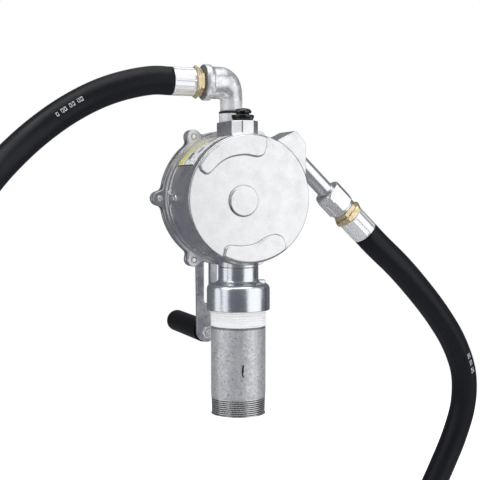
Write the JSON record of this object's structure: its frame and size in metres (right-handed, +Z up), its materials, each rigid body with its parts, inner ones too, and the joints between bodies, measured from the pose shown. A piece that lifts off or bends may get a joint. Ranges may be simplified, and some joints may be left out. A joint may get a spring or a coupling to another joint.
{
  "type": "drum barrel pump",
  "caption": "Hand-cranked rotary vane pump for drums with bung pipe, discharge hose, nozzle parked in a boot, elbow outlet and crank handle.",
  "frame": {"origin": "centre of the bung pipe's lower end, on the pipe's axis", "axes": "+Z up along the bung pipe, the round front face of the pump looks along -Y, the crank is on the +Y side, the hose leaves towards -X and the nozzle is parked on the +X side"},
  "size_m": [0.6914, 0.2612, 0.7089],
  "materials": {
    "cast_aluminium": "die cast, faced and lightly polished",
    "polished_aluminium": "turned and polished",
    "galvanised_iron": "hot dip galvanised, slightly rough",
    "galvanised_pipe": "galvanised, mottled and streaked",
    "zinc_steel": "zinc plated",
    "steel": "machined",
    "brass": "machined, pale",
    "black_plastic": "glossy",
    "black_grip": "satin",
    "hose_rubber": "satin cover",
    "seal_rubber": "moulded",
    "graphite": "filled composite",
    "gasket_paper": "compressed fibre",
    "ptfe_tape": "wrapped film",
    "label_film": "printed film"
  },
  "bodies": {
    "pump": {"pump_body": "cast_aluminium", "rear_cover": "cast_aluminium", "inlet_collar": "polished_aluminium", "outlet_spigot": "polished_aluminium", "elbow_ferrule": "polished_aluminium", "elbow": "galvanised_iron", "bung_pipe": "galvanised_pipe", "cover_screw_1": "zinc_steel", "cover_screw_2": "zinc_steel", "cover_screw_3": "zinc_steel", "cover_screw_4": "zinc_steel", "cover_screw_5": "zinc_steel", "cover_screw_6": "zinc_steel", "inlet_strainer": "steel", "elbow_hose_fitting": "brass", "gland_nut": "brass", "front_bush": "brass", "rear_bush": "brass", "vacuum_breaker_cap": "black_plastic", "hose_pump_half": "hose_rubber", "shaft_seal": "seal_rubber", "outlet_seal_ring": "seal_rubber", "cover_gasket": "gasket_paper", "thread_tape": "ptfe_tape", "instruction_label": "label_film"},
    "crank": {"rotor": "steel", "vane_1": "graphite", "vane_2": "graphite", "vane_3": "graphite", "vane_4": "graphite", "drive_shaft": "steel", "crank_arm": "zinc_steel", "crank_nut": "zinc_steel", "grip_bolt": "zinc_steel", "grip_nut": "zinc_steel"},
    "grip": {"handle_grip": "black_grip"},
    "check_valve": {"check_valve_disc": "seal_rubber"},
    "vacuum_breaker": {"vacuum_breaker_poppet": "brass"},
    "nozzle": {"nozzle_spout": "polished_aluminium", "nozzle_body": "polished_aluminium", "nozzle_hose_fitting": "brass", "nozzle_ferrule": "polished_aluminium", "hose_nozzle_half": "hose_rubber"}
  },
  "joints": [
    {"name": "crank_spin", "type": "hinge", "parent": "pump", "child": "crank", "pos_m": [-0.008, 0, 0.2347], "axis": [0, 1, 0], "continuous": true},
    {"name": "grip_spin", "type": "hinge", "parent": "crank", "child": "grip", "pos_m": [-0.008, 0.139, 0.0797], "axis": [0, 1, 0], "continuous": true},
    {"name": "check_valve_lift", "type": "slide", "parent": "pump", "child": "check_valve", "axis": [0, 0, 1], "range_m": [0, 0.006]},
    {"name": "vacuum_breaker_lift", "type": "slide", "parent": "pump", "child": "vacuum_breaker", "axis": [0, 0, 1], "range_m": [0, 0.003]},
    {"name": "nozzle_pull", "type": "slide", "parent": "pump", "child": "nozzle", "axis": [0.7254, 0, -0.6884], "range_m": [0, 0.055]}
  ]
}
